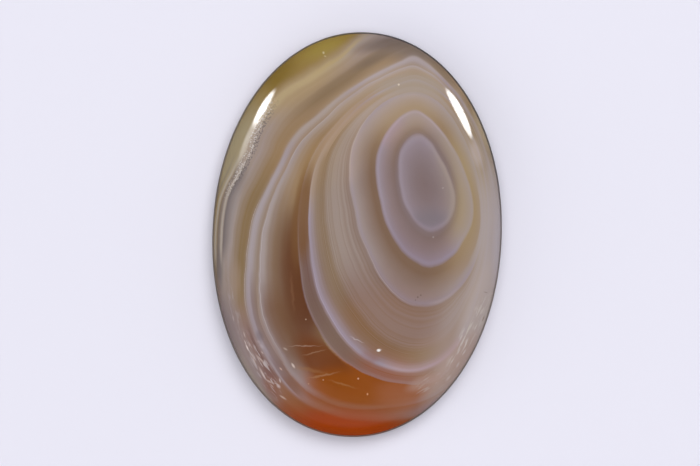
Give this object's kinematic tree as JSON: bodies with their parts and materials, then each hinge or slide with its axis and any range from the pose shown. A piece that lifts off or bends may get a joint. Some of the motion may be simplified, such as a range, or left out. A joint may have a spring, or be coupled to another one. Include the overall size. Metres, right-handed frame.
{
  "type": "agate cabochon",
  "caption": "Oval polished banded agate cabochon with a low dome, a slightly leaning girdle, a small bevel and a flat back.",
  "frame": {"origin": "middle of the flat back, on the surface that the stone rests on", "axes": "+Z out of the dome, +Y along the stone's length towards the end that carries the olive corner, +X across its width"},
  "size_m": [0.025, 0.035, 0.0066],
  "materials": {
    "banded_agate": "high polish, faintly translucent, banded grey, lavender and brown"
  },
  "bodies": {
    "root": {"agate_cabochon": "banded_agate"}
  },
  "joints": []
}
